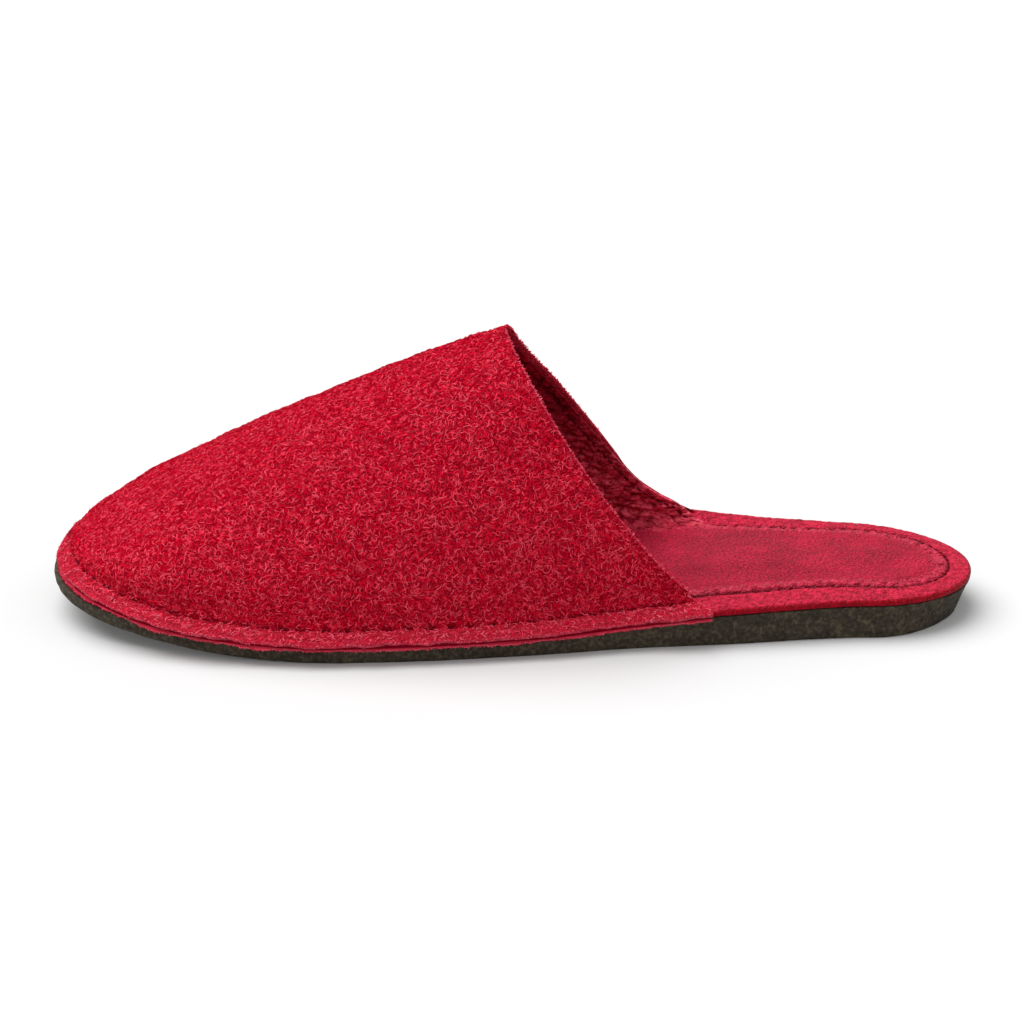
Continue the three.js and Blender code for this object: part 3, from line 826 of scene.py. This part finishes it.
def lining_half(side):
    f = F[:, None]
    wall = half_ring(F, side, True, np.array([3.0]), LINING_ANGLES)[:, 1:]
    base_d = mix(SOLE_LENGTH, SEAM_END[side], 1 - np.cos(np.pi * f / 2))
    level = insole_top(base_d) + 0.4
    top_z = ridge_point(f, True)[2]
    size = np.clip((top_z - level) / 40, 0.08, 1)
    r = FILLET * size
    if side == "lateral":  # at the outer end the lining stays close to the suede
        r = r * (1 - 0.7 * smooth((f - 0.84) / 0.16))
    inset = mix(WALL_INSET["toe"], WALL_INSET["side"], smooth(f / TOE_SHARE)) + UPPER_THICK
    h = wall[..., 2] - level
    low = np.clip(r - h, 0, r)
    turn = 1.0 if side == "lateral" else -1.0
    wall[..., 1] += turn * (r - np.sqrt(np.maximum(r * r - low * low, 0)))
    fade = smooth((f - 0.93) / 0.07)
    wall[..., 2] -= 1.1 * fade * (1 - smooth(h / 5))
    rows = []
    for far, up in SKIRT:
        d, y = offset_point(share_at(base_d), side, -(inset + r + far * size))
        rows.append(np.concatenate([d, y, level + up * size - 1.3 * fade], 1))
    for up in SKIRT_UP:
        low = r * (1 - up / FILLET)
        d, y = offset_point(share_at(base_d), side, -(inset + r - np.sqrt(np.maximum(r * r - low * low, 0))))
        rows.append(np.concatenate([d, y, level + up * size - 1.2 * fade], 1))
    return np.concatenate([np.stack(rows, 1), wall], 1), np.concatenate([np.zeros((len(F), len(rows))), np.maximum(h, 0)], 1)


la, ha = lining_half("lateral")
lb, hb = lining_half("medial")
lining_top = np.stack(ridge_point(F, True), -1)[:, None, :]
LINE = np.concatenate([la, lining_top, lb[:, ::-1]], 1)
up_wall = np.concatenate([ha, np.full((RINGS, 1), 80.0), hb[:, ::-1]], 1)
lining_normal = -grid_normals(LINE)
collar_way = path_lengths(LINE[::-1], 0)[::-1]
TOP_STITCH = 3.1
grain = 0.2 * ripple(LINE, (5.2, 3.9, 2.7), 21) + 0.22 * ripple(LINE, (26, 15), 22)
folds = ripple(LINE * np.array([0.45, 1.0, 1.25]), (7.5, 4.2, 2.9), 33)
low_part = np.exp(-((up_wall - 5) / 13) ** 2)
wr = grain + low_part * (0.5 * folds + 0.22 * np.abs(folds)) * smooth((F[:, None] - 0.25) / 0.3)
calm = smooth((collar_way - 0.5) / 4.0)
wr = wr * calm - 0.45 * np.exp(-(((collar_way - TOP_STITCH) / 0.6) ** 2))
wr += 0.16 * np.exp(-(((collar_way - 1.6) / 0.9) ** 2))
wr *= smooth(F[:, None] / 0.2)
set_back = smooth((np.arange(RINGS) - (RINGS - 9)) / 8.0)[:, None] * smooth((LINE[-1, :, 2] - 26) / 18.0)[None, :]
LINE = LINE - (0.8 * set_back)[..., None] * unit(LINE[-1] - LINE[-6])[None]
LINING_FACE = LINE + lining_normal * wr[..., None]
# The lining's lower part, which its material paints lighter: painted light and painted highlight. It is weaker right at
# the insole and fades out toward the toe.
sheen_low = np.exp(-((np.maximum(up_wall - 3, 0) / 24) ** 2)) * smooth((F[:, None] - 0.3) / 0.45) * (0.35 + 0.65 * smooth(up_wall / 3))
l_edge = np.zeros_like(LINE)
l_edge[-1] = unit(LINE[-1] - LINE[-4])
lining = layer_piece("upper_lining", LINING_FACE, LINE - lining_normal * 0.75, 0.1, l_edge, LINING, sheen_low)

# ------------------------------------------------------------------ insole
u = np.concatenate([np.linspace(0, 0.46, 400), np.linspace(0.46, 1, 70)[1:]])
INSETS = np.concatenate([[0.1, 0.28, 0.5, 0.8, 1.2, 1.8, 2.4], np.arange(3.0, 21.0, 0.45), [21.0]])
CENTRE = np.linspace(0, 1, 26)[1:-1]
station_d, _ = edge_point(u, "lateral")
rim_heel = along([r[0] for r in INSOLE_RIM], [r[1] for r in INSOLE_RIM])(INSETS)[None, :]
rim_fore = along([r[0] for r in INSOLE_RIM], [r[2] for r in INSOLE_RIM])(INSETS)[None, :]
SEWN = {"lateral": 11.2, "medial": 9.2}
HEEL_SEWN = 6.4


rim_pull = along([36, 45, 57, 63.5, 69.7, 76, 82, 90, 102, 112], [0, 0.4, 0.75, 1.3, 1.75, 2.6, 3.2, 2.4, 0, 0])


def sewn_inset(d, side):
    return mix(HEEL_SEWN, SEWN[side], smooth(d / 48.0))


def insole_half(side):
    d, y = offset_point(u[:, None], side, -INSETS[None, :])
    front = smooth((station_d - (FLANGE_END[side] - 3 if side == "lateral" else 86)) / 6)[:, None]
    z = insole_top(station_d)[:, None] - mix(rim_heel, rim_fore, front)
    if side == "medial":  # the vamp pulls the rim up a little before it starts
        z = z + rim_pull(station_d)[:, None] * (1 - smooth(INSETS[None, :] / 9.0))
    way = path_lengths(np.stack(offset_point(u, side, -9.0), -1))[:, None]
    s = INSETS[None, :] - sewn_inset(station_d, side)[:, None]
    wobble = 0.12 * np.sin(way / 7.3) + 0.08 * np.sin(way / 3.1 + 1.0)
    z = z - mix(0.6, 0.95, smooth((station_d - 4) / 24))[:, None] * np.exp(-(((s - wobble) / 0.55) ** 2))
    calm = smooth(way / 5.0)  # both halves meet level behind the heel
    sign = 0 if side == "lateral" else 5.1
    pucker = (
        np.sin(way * 2 * np.pi / 3.7 + 0.9 * s + sign)
        + 0.7 * np.sin(way * 2 * np.pi / 2.6 - 0.7 * s + 2 * sign + 1.3 * np.sin(way / 9))
        + 0.6 * np.sin(way * 2 * np.pi / 5.9 + 1.4 * s)
    )
    z = z + 0.34 * calm * pucker * np.exp(-(((s - 2.4) / 1.7) ** 2)) * smooth(s / 0.8)
    z = z + 0.30 * np.exp(-(((s - 1.9) / 1.5) ** 2))
    z = z + 0.20 * np.exp(-(((s + 1.6) / 1.3) ** 2)) * (1 + 0.25 * np.sin(way * 2 * np.pi / 3.4))
    z = z + 0.07 * calm * (np.sin(way / 1.7 + 2 * s) + np.sin(way / 1.13 - 1.3 * s + sign)) * np.exp(-(((s + 3.2) / 3) ** 2))
    pebble = calm * ripple(np.stack([d, y, 0 * d], -1), (2.9, 2.1, 1.6), 61 + len(side))
    z = z + 0.085 * pebble * (1 - smooth((s + 0.2) / 0.8)) * smooth(INSETS[None, :] / 1.2)
    z = z + 0.02 * pebble * smooth(s / 1.0)
    base = sole_top(station_d) + GAP
    bd, by = offset_point(u, side, -0.1)
    band = []
    for share, out in ((0, 0), (0.2, 0.12), (0.45, 0.2), (0.75, 0.16)):
        od, oy = offset_point(u, side, -0.1 + out)
        band.append(np.stack([od, oy, mix(base, z[:, 0], share)], -1))
    return np.concatenate([np.stack(band, 1), np.stack([d, y, z], -1)], 1), s


ia, sa = insole_half("lateral")
ib, sb = insole_half("medial")
p, q = ia[:, -1], ib[:, -1]
broad = np.clip(abs(q[:, 1] - p[:, 1]) / 30, 0, 1)[:, None]
c = CENTRE[None, :]
middle = mix(p[:, None, :], q[:, None, :], CENTRE[None, :, None])
middle[..., 2] += 0.4 * broad * 4 * c * (1 - c)
middle[..., 2] += 0.10 * ripple(middle, (34, 19, 11), 41) * np.minimum(1, 6 * c * (1 - c))
sheet_grid = np.concatenate([ia, middle, ib[:, ::-1]], 1)
nb = 4
rim_a = np.concatenate([np.ones((len(u), nb)), 1 - smooth((sa + 0.3) / 0.6)], 1)
rim_b = np.concatenate([np.ones((len(u), nb)), 1 - smooth((sb + 0.3) / 0.6)], 1)
zone_rim = np.concatenate([rim_a, np.zeros(middle.shape[:2]), rim_b[:, ::-1]], 1)
band_a = np.zeros_like(rim_a)
band_a[:, : nb + 2] = 1.0
band_a[:, nb + 2] = 0.6
zone_band = np.concatenate([band_a, np.zeros(middle.shape[:2]), band_a[:, ::-1]], 1)
sewn_a = np.concatenate([np.zeros((len(u), nb)), np.exp(-(((sa - 2.4) / 1.8) ** 2))], 1)
sewn_b = np.concatenate([np.zeros((len(u), nb)), np.exp(-(((sb - 2.4) / 1.8) ** 2))], 1)
# The 'fold' mark follows the seam's groove, where the insole is painted dark as painted shade; it is weaker at the
# heel.
groove_shade_a = np.concatenate([np.zeros((len(u), nb)), np.exp(-(((sa - 0.25) / 0.5) ** 2))], 1)
groove_shade_b = np.concatenate([np.zeros((len(u), nb)), np.exp(-(((sb + 0.2) / 0.5) ** 2))], 1)
calm_heel = 0.3 + 0.7 * smooth((station_d - 4) / 24)[:, None]
groove_shade_a, groove_shade_b = groove_shade_a * calm_heel, groove_shade_b * calm_heel
zone_groove_shade = np.concatenate([groove_shade_a, np.zeros(middle.shape[:2]), groove_shade_b[:, ::-1]], 1)
zone_sewn = np.concatenate([sewn_a, np.zeros(middle.shape[:2]), sewn_b[:, ::-1]], 1)
ids = np.arange(sheet_grid.shape[0] * sheet_grid.shape[1]).reshape(sheet_grid.shape[:2])
tris = np.concatenate([quad_tris(ids), quad_tris(ids[:, [0, -1]], True)])
v, tris, kept = weld(sheet_grid.reshape(-1, 3), tris)
insole = add_piece("insole_leather", v, tris, PAD,
                   {"rim": zone_rim.ravel()[kept], "band": zone_band.ravel()[kept], "sewn": zone_sewn.ravel()[kept],
                    "fold": zone_groove_shade.ravel()[kept]}, sharp=70)
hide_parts("insole")

# ------------------------------------------------------------------ outsole
u2 = np.linspace(0, 1, 261)
d2, _ = edge_point(u2, "lateral")
under = (0.3 + (HEEL_UNDERCUT - 0.3) * (1 - smooth((d2 - 4) / 26)))[:, None]
low, high = spring(d2)[:, None], sole_top(d2)[:, None]
profile = np.array([0.0, 0.12, 0.3, 0.55, 0.8, 1.0])
WALL = np.linspace(0, 1, 15)


toe_out = 1.2 * smooth((d2 - 232) / 30)[:, None]


def outsole_half(side):
    rows = []
    for a in np.linspace(0, 1, 6):
        ang = a * np.pi / 2
        rows.append((-under * 0.86 - 0.9 * (1 - np.sin(ang)), low + 0.9 * (1 - np.cos(ang))))
    for w in WALL[1:-1]:
        z = mix(low + 0.9, high - 0.25, w)
        rows.append((-under * 0.86 * (1 - w) ** 0.85, z))
    rows.append((-0.04 + 0 * under, high - 0.12))
    rows.append((-0.25 + 0 * under, high))
    out = []
    for o, z in rows:
        d, y = offset_point(u2[:, None], side, o + toe_out)
        out.append(np.concatenate([d, y, z], 1))
    return np.stack(out, 1)


oa, ob_ = outsole_half("lateral"), outsole_half("medial")
grid = np.concatenate([oa, ob_[:, ::-1]], 1)
wob = 0.09 * ripple(grid, (23, 9, 4), 51)
cz = np.array([0.0, 0.0])
ids = np.arange(grid.shape[0] * grid.shape[1]).reshape(grid.shape[:2])
out_dir = np.zeros_like(grid)
n_side = oa.shape[1]
for side, sl in (("lateral", slice(0, n_side)), ("medial", slice(n_side, None))):
    d0, y0 = offset_point(u2, side, 0.0)
    d1, y1 = offset_point(u2, side, 1.0)
    out_dir[:, sl, 0] = (d1 - d0)[:, None]
    out_dir[:, sl, 1] = (y1 - y0)[:, None]
inside = np.ones(grid.shape[1])
inside[[0, n_side - 1, n_side, -1]] = 0
grid = grid + out_dir * (np.minimum(wob, 0.05) * inside[None, :])[..., None]
tris = np.concatenate([quad_tris(ids), quad_tris(ids[:, [0, -1]], True)])
v, tris, _ = weld(grid.reshape(-1, 3), tris)
outsole = add_piece("outsole_rubber", v, tris, RUBBER, sharp=50)
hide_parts("outsole")


# ------------------------------------------------------------------ threads
def stitches(name, line, up, pitch, share, radius, sink, arch, material, start=0.0):
    """Short rounded stitches along a line (n, 3): each dips at both ends."""
    way = path_lengths(line)
    n = int((way[-1] - start) // pitch)
    sides, steps = 6, 7
    verts, faces = [], []
    s = np.linspace(0, 1, steps)
    for i in range(n):
        a = start + i * pitch + pitch * (1 - share) / 2
        at = a + s * pitch * share
        p = np.stack([np.interp(at, way, line[:, k]) for k in range(3)], -1)
        w = unit(np.stack([np.interp(at, way, up[:, k]) for k in range(3)], -1))
        along_dir = unit(np.gradient(p, axis=0))
        cross = unit(np.cross(w, along_dir))
        p = p + w * (-sink + arch * np.sin(np.pi * s) ** 0.6)[:, None]
        r = radius * np.sqrt(np.maximum(0.08, np.sin(np.pi * (0.04 + 0.92 * s))))
        ang = np.linspace(0, 2 * np.pi, sides, endpoint=False)
        ring = p[:, None, :] + r[:, None, None] * (
            np.cos(ang)[None, :, None] * cross[:, None, :] + np.sin(ang)[None, :, None] * w[:, None, :]
        )
        base = sum(len(x) for x in verts)
        verts.append(np.concatenate([ring.reshape(-1, 3), p[:1] - along_dir[:1] * radius * 0.4, p[-1:] + along_dir[-1:] * radius * 0.4]))
        idx = np.arange(steps * sides).reshape(steps, sides)
        nxt = np.roll(idx, -1, axis=1)
        f = [np.stack([idx[:-1].ravel(), nxt[:-1].ravel(), nxt[1:].ravel()], -1),
             np.stack([idx[:-1].ravel(), nxt[1:].ravel(), idx[1:].ravel()], -1)]
        c0, c1 = steps * sides, steps * sides + 1
        f.append(np.stack([nxt[0], idx[0], np.full(sides, c0)], -1))
        f.append(np.stack([idx[-1], nxt[-1], np.full(sides, c1)], -1))
        faces.append(np.concatenate(f) + base)
    return add_piece(name, np.concatenate(verts), np.concatenate(faces), material)


face_normal = grid_normals(FACE)
line = np.concatenate([FACE[::-1, seam_col], FACE[1:, ACROSS - 1 - seam_col]])
ups = np.concatenate([face_normal[::-1, seam_col], face_normal[1:, ACROSS - 1 - seam_col]])
half_way = path_lengths(line)[RINGS - 1]
stitches("flange_stitches", line, ups, STITCH, 0.52, 0.34, 0.12, 0.16, DARK_THREAD,
         start=(half_way + STITCH / 2) % STITCH)

collar_line, collar_up = [], []
for j in range(len(SKIRT) + len(SKIRT_UP), LINE.shape[1] - len(SKIRT) - len(SKIRT_UP)):
    way = collar_way[::-1, j]
    collar_line.append([np.interp(TOP_STITCH, way, LINING_FACE[::-1, j, k]) for k in range(3)])
    collar_up.append([np.interp(TOP_STITCH, way, lining_normal[::-1, j, k]) for k in range(3)])
stitches("collar_topstitch", np.array(collar_line), np.array(collar_up), 2.6, 0.72, 0.36, 0.0, 0.3, DARK_THREAD)


def insole_seam_line(side):
    s = sewn_inset(station_d, side)
    d, y = offset_point(u, side, -s)
    grid_z = ia if side == "lateral" else ib
    z = np.array([np.interp(s[i], INSETS, grid_z[i, nb:, 2]) for i in range(len(u))])
    return np.stack([d, y, z], -1)


keep = station_d < 150
a, b = insole_seam_line("lateral")[keep], insole_seam_line("medial")[keep]
line = np.concatenate([a[::-1], b[1:]])
stitches("insole_stitches", line, np.tile(np.array([0.0, 0, 1.0]), (len(line), 1)), 3.1, 0.86, 0.36, 0.05, 0.2, RED_THREAD)


# ------------------------------------------------------------------ nap: curled fibres lying on the suede
def fibres(name, base, normal, way, length, width, lift, turns, material):
    """Closed bent slivers lying in the surface; turns (fibre, bends) are the changes of heading along each one."""
    side = unit(np.cross(normal, way))
    way = unit(np.cross(side, normal))
    n, bends = turns.shape
    steps = bends + 1
    pts = [base]
    heading = np.zeros(n)
    for k in range(steps):
        heading = heading + (turns[:, k - 1] if k else 0)
        step = np.cos(heading)[:, None] * way + np.sin(heading)[:, None] * side
        pts.append(pts[-1] + step * (length / steps)[:, None])
    shape = np.sin(np.pi * (0.12 + 0.76 * np.linspace(0, 1, steps + 1)))
    shape[0], shape[-1] = -0.15, 0.2
    pts = [p + normal * (lift * h)[:, None] for p, h in zip(pts, shape)]
    verts = [pts[0]]
    for k in range(1, steps):
        t = unit(pts[k + 1] - pts[k - 1])
        s = unit(np.cross(normal, t))
        w = unit(np.cross(t, s))
        for ang in (0.5, 2.64, 4.71):
            verts.append(pts[k] + (math.cos(ang) * s + math.sin(ang) * w) * width[:, None])
    verts = np.stack(verts + [pts[-1]], 1)
    f = [(0, 2, 1), (0, 3, 2), (0, 1, 3)]
    for r in range(bends - 1):
        for k in range(3):
            a, b = 1 + 3 * r + k, 1 + 3 * r + (k + 1) % 3
            f += [(a, b, b + 3), (a, b + 3, a + 3)]
    e = 1 + 3 * (bends - 1)
    f += [(e + 3, e, e + 1), (e + 3, e + 1, e + 2), (e + 3, e + 2, e)]
    faces = np.array(f)[None] + (np.arange(n) * verts.shape[1])[:, None, None]
    return add_piece(name, verts.reshape(-1, 3), faces.reshape(-1, 3), material)


def scatter(p, nrm, count, weight, rng):
    """Random points on a grid of quads, by area times a weight at the cell."""
    a, b, c, d = p[:-1, :-1], p[:-1, 1:], p[1:, 1:], p[1:, :-1]
    area = 0.5 * np.linalg.norm(np.cross(c - a, d - b), axis=-1)
    w = (area * weight[:-1, :-1]).ravel()
    total = np.cumsum(w) / w.sum()
    pick = np.minimum(np.searchsorted(total, (np.arange(count) + rng.random(count)) / count), len(w) - 1)
    i, j = np.divmod(pick, p.shape[1] - 1)
    s, t = rng.random(count)[:, None], rng.random(count)[:, None]
    blend = lambda g: (g[i, j] * (1 - s) + g[i + 1, j] * s) * (1 - t) + (g[i, j + 1] * (1 - s) + g[i + 1, j + 1] * s) * t
    along_way = unit(g_step[i, j])
    return blend(p), unit(blend(nrm)), along_way


g_step = np.gradient(FACE, axis=0)
NAP_COUNT = 24000
in_seam = 1 - 0.9 * np.exp(-((from_seam / 0.8) ** 2)) * slot_open
in_seam = in_seam * (path_lengths(OUTER[::-1], 0)[::-1] > 1.6)
in_seam[:, :3] = in_seam[:, -4:] = 0
in_seam[RINGS - 14 :, MID:] *= (height_share[-1, MID:] > 0.4)[None, :]
in_seam[:3] *= 0.3
outer_half = np.arange(ACROSS)[None, :] < MID
regions = {
    "nap_outer_low": (0.36, outer_half & (height_share < 0.45) & (from_seam >= 0), NAP),
    "nap_outer_high": (0.33, outer_half & (height_share >= 0.45), NAP),
    "nap_inner": (0.21, ~outer_half & (from_seam >= 0), NAP),
    "nap_flange": (0.10, from_seam < 0, FLANGE_NAP),
}
for key, (part, where, look) in regions.items():
    n = int(NAP_COUNT * part)
    base, nrm, way = scatter(FACE, face_normal, n, in_seam * where + 1e-9, RNG)
    turn = RNG.uniform(0, 2 * np.pi, n)
    side = unit(np.cross(nrm, way))
    way = np.cos(turn)[:, None] * way + np.sin(turn)[:, None] * side
    bend = RNG.choice([-1, 1], (n, 1)) * np.where(RNG.random((n, 1)) < 0.55, [[1, 1, 1]], [[1, 0.2, -1]])
    fibres(key, base, nrm, way, RNG.uniform(1.5, 2.9, n), RNG.uniform(0.085, 0.13, n), RNG.uniform(0.06, 0.2, n),
           bend * RNG.uniform(0.3, 1.2, (n, 3)), look)


def edge_fibres(name, edge, out, up, count, depth, rng, look=None, long=1.0, stand=0.0, wide=1.0, fade=0.0, calm_way=0.0):
    """Short loose fibres along a cut edge."""
    way = path_lengths(edge)
    at = rng.uniform(0, way[-1], count)
    pick = lambda g: np.stack([np.interp(at, way, g[:, k]) for k in range(3)], -1)
    e, o, w = pick(edge), unit(pick(out)), unit(pick(up))
    tang = unit(pick(np.gradient(edge, axis=0)))
    base = e + w * (rng.uniform(-1.0, 0.15, count) * depth)[:, None] - o * 0.1
    head = unit(o * rng.uniform(stand, 0.8 + stand, count)[:, None] + tang * rng.normal(0, 1.0 - 0.4 * stand, count)[:, None]
                + w * rng.normal(0, 0.4, count)[:, None])
    turns = rng.choice([-1, 1], (count, 1)) * rng.uniform(0, 0.8, (count, 2))
    return fibres(name, base, unit(w * 0.4 + o) if stand == 0 else unit(w + 0.2 * o), head, rng.uniform(0.5, 1.1, count) * long * (1 - fade * at / way[-1]) * (smooth((at + 8) / (calm_way + 8))), rng.uniform(0.07, 0.13, count) * wide,
                  rng.uniform(0.02, 0.25, count), turns, look or FUZZ)


m_edges = 1.0
upto = MID - 2
edge_fibres("collar_fuzz", FACE[-1, :upto], edge_out[-1, :upto], face_normal[-1, :upto], int(1300 * m_edges), 1.0, RNG, None, 0.8, 0.3)
edge_fibres("collar_tufts", FACE[-1, :upto], edge_out[-1, :upto], face_normal[-1, :upto], int(190 * m_edges), 0.8, RNG, None, 1.25, 0.8, 1.4)
far = slice(MID - 2, MID + 54)
edge_fibres("collar_fuzz_far", FACE[-1, far], edge_out[-1, far], face_normal[-1, far], int(260 * m_edges), 0.7, RNG, NAP, 1.25, 0.8, 1.6, 0.7)
for key, col in (("flange_fuzz_outer", 0), ("flange_fuzz_inner", -1)):
    edge_fibres(key, FACE[:, col], edge_out[:, col], face_normal[:, col], int((2700 if col == 0 else 900) * m_edges), 0.6, RNG, None, 0.95, 0.1, 0.9, 0.0, 30.0)
lip = (mix(OUTER, INNER, 0.98) + lip_way)
edge_fibres("lip_fuzz", lip[:, 0], edge_out[:, 0], face_normal[:, 0], int(1300 * m_edges), 0.12, RNG, None, 0.8, 0.1, 0.9, 0.0, 30.0)

# ------------------------------------------------------------------ floor, light, camera
floor_mesh = bpy.data.meshes.new("floor")
R = 6.0
floor_mesh.from_pydata([(-R, -R, 0), (R, -R, 0), (R, R, 0), (-R, R, 0)], [], [(0, 1, 2, 3)])
floor = bpy.data.objects.new("floor", floor_mesh)
bpy.context.scene.collection.objects.link(floor)
fm = Nodes("floor_white")
fm.tree.links.new(fm.ramp(fm.noise(3.0, 2.0), "Fac", [(0.2, (0.59, 0.59, 0.59)), (0.8, (0.61, 0.61, 0.61))]).outputs["Color"], fm.shader.inputs["Base Color"])
fm.set(Roughness=0.9, Specular_IOR_Level=0.1, Emission_Color=(1, 1, 1, 1), Emission_Strength=0.06)
floor_mesh.materials.append(fm.material)

world = bpy.data.worlds.new("studio")
bpy.context.scene.world = world
world.use_nodes = True
world.node_tree.nodes["Background"].inputs["Color"].default_value = (1, 1, 1, 1)
world.node_tree.nodes["Background"].inputs["Strength"].default_value = 0.6


sun = bpy.data.lights.new("soft_key", "SUN")
sun.energy = 3.6
sun.angle = math.radians(60)
key_light = bpy.data.objects.new("soft_key", sun)
bpy.context.scene.collection.objects.link(key_light)
key_light.rotation_euler = Vector((0.4, -0.25, -0.88)).to_track_quat("-Z", "Y").to_euler()

ELEVATION, DISTANCE, FOCAL_PX, CENTRE_PX = 20.793, 0.700, 2350.3, 597.68
e = math.radians(ELEVATION)
cam = bpy.data.cameras.new("camera")
cam.sensor_width = 36.0
cam.lens = FOCAL_PX * 36.0 / 1024.0
cam.shift_y = (CENTRE_PX - 511.5) / 1024.0
cam.clip_end = 50.0
camera = bpy.data.objects.new("camera", cam)
bpy.context.scene.collection.objects.link(camera)
camera.location = (-0.0002, -DISTANCE * math.cos(e), DISTANCE * math.sin(e))
camera.rotation_euler = (math.radians(90) - e, 0, 0)
bpy.context.scene.camera = camera
bpy.context.scene.view_settings.view_transform = "Standard"
